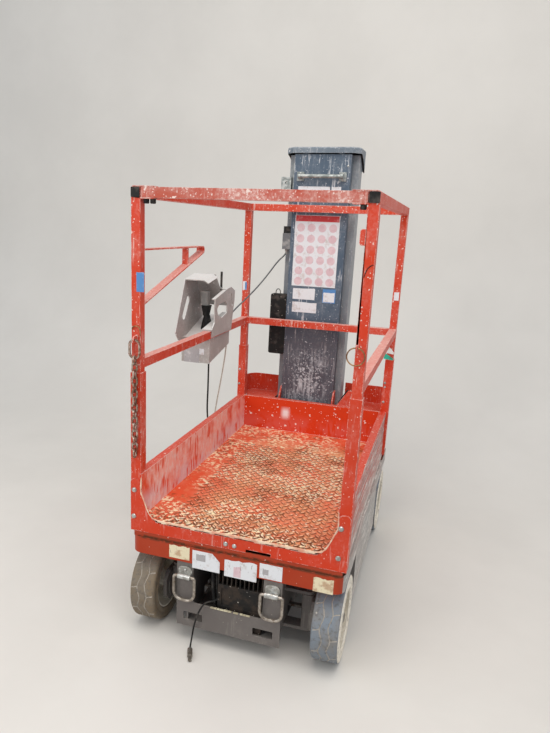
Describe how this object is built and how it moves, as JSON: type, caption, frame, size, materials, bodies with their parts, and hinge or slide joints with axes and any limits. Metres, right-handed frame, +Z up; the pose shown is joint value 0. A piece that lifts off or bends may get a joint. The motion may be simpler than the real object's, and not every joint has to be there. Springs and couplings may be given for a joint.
{
  "type": "vertical mast lift",
  "caption": "Self-propelled vertical mast lift: red platform with guard rail and entry chain on a low wheeled base, raised by a nested telescopic mast with a control box.",
  "frame": {"origin": "on the floor under the middle of the machine's outline", "axes": "+Z up, -Y towards the platform's open end, +Y towards the mast, +X to the right seen from the open end"},
  "size_m": [0.855, 1.4503, 1.806],
  "materials": {
    "red": "gloss enamel, scratched",
    "mast_gray": "satin enamel, scuffed",
    "plate_gray": "worn enamel",
    "box_gray": "satin enamel, scuffed",
    "steel": "galvanised, dull",
    "aluminium": "extruded",
    "tyre": "non-marking gray",
    "rim": "cream enamel, scuffed",
    "black": "moulded",
    "iron": "black paint",
    "rubber": "matte",
    "cable_gray": "matte jacket",
    "cord_white": "braided"
  },
  "bodies": {
    "base": {"chassis": "plate_gray", "base_apron": "red", "rear_cover_left": "red", "rear_cover_right": "red", "front_plate": "plate_gray", "power_unit": "iron", "battery_pack": "black", "counterweight": "iron", "mast_column": "mast_gray", "charge_lead": "rubber", "charge_plug": "black"},
    "knuckle_left": {"knuckle_left": "plate_gray"},
    "knuckle_right": {"knuckle_right": "plate_gray"},
    "tie_rod": {"tie_rod": "steel"},
    "wheel_front_left": {"rim_front_left": "rim", "tyre_front_left": "tyre"},
    "wheel_front_right": {"rim_front_right": "rim", "tyre_front_right": "tyre"},
    "wheel_rear_left": {"rim_rear_left": "rim", "tyre_rear_left": "tyre"},
    "wheel_rear_right": {"rim_rear_right": "rim", "tyre_rear_right": "tyre"},
    "stage_lower": {"mast_stage_lower": "aluminium"},
    "stage_upper": {"mast_stage_upper": "aluminium"},
    "platform": {"mast_carriage": "mast_gray", "mast_cap": "mast_gray", "mast_handle": "steel", "connector_box": "box_gray", "document_box": "black", "tray_carrier": "red", "platform_tray": "red", "guard_rail": "red", "front_bar": "red", "side_loop": "red", "rail_fittings": "black", "entry_chain": "steel", "split_ring": "steel", "control_box": "box_gray", "control_levers": "black", "rubber_trim": "rubber", "control_cable": "cable_gray", "box_cable": "rubber", "box_lanyard": "cord_white"},
    "ring_left": {"d_ring_left": "steel"},
    "ring_right": {"d_ring_right": "steel"}
  },
  "joints": [
    {"name": "steer_left", "type": "hinge", "parent": "base", "child": "knuckle_left", "pos_m": [-0.1975, -0.5325, 0.15], "axis": [0, 0, 1], "range_deg": [-25, 25]},
    {"name": "steer_right", "type": "hinge", "parent": "base", "child": "knuckle_right", "pos_m": [0.2925, -0.5325, 0.15], "axis": [0, 0, 1], "range_deg": [-25, 25]},
    {"name": "tie_rod_pivot", "type": "hinge", "parent": "knuckle_left", "child": "tie_rod", "pos_m": [-0.1975, -0.4575, 0.11], "axis": [0, 0, 1], "range_deg": [-25, 25]},
    {"name": "roll_front_left", "type": "hinge", "parent": "knuckle_left", "child": "wheel_front_left", "pos_m": [-0.283, -0.5325, 0.15], "axis": [1, 0, 0], "continuous": true},
    {"name": "roll_front_right", "type": "hinge", "parent": "knuckle_right", "child": "wheel_front_right", "pos_m": [0.378, -0.5325, 0.15], "axis": [1, 0, 0], "continuous": true},
    {"name": "roll_rear_left", "type": "hinge", "parent": "base", "child": "wheel_rear_left", "pos_m": [-0.283, 0.5175, 0.15], "axis": [1, 0, 0], "continuous": true},
    {"name": "roll_rear_right", "type": "hinge", "parent": "base", "child": "wheel_rear_right", "pos_m": [0.378, 0.5175, 0.15], "axis": [1, 0, 0], "continuous": true},
    {"name": "lift_lower", "type": "slide", "parent": "base", "child": "stage_lower", "axis": [0, 0, 1], "range_m": [0, 1.07]},
    {"name": "lift_upper", "type": "slide", "parent": "stage_lower", "child": "stage_upper", "axis": [0, 0, 1], "range_m": [0, 1.07]},
    {"name": "lift_platform", "type": "slide", "parent": "stage_upper", "child": "platform", "axis": [0, 0, 1], "range_m": [0, 1.07]},
    {"name": "ring_swing_left", "type": "hinge", "parent": "base", "child": "ring_left", "pos_m": [-0.1215, -0.6745, 0.265], "axis": [-1, 0, 0], "range_deg": [0, 110]},
    {"name": "ring_swing_right", "type": "hinge", "parent": "base", "child": "ring_right", "pos_m": [0.1925, -0.6745, 0.265], "axis": [-1, 0, 0], "range_deg": [0, 110]}
  ],
  "couplings": [
    {"joint": "steer_right", "follows": "steer_left", "ratio": 1},
    {"joint": "tie_rod_pivot", "follows": "steer_left", "ratio": -1},
    {"joint": "lift_upper", "follows": "lift_lower", "ratio": 1},
    {"joint": "lift_platform", "follows": "lift_lower", "ratio": 1}
  ]
}
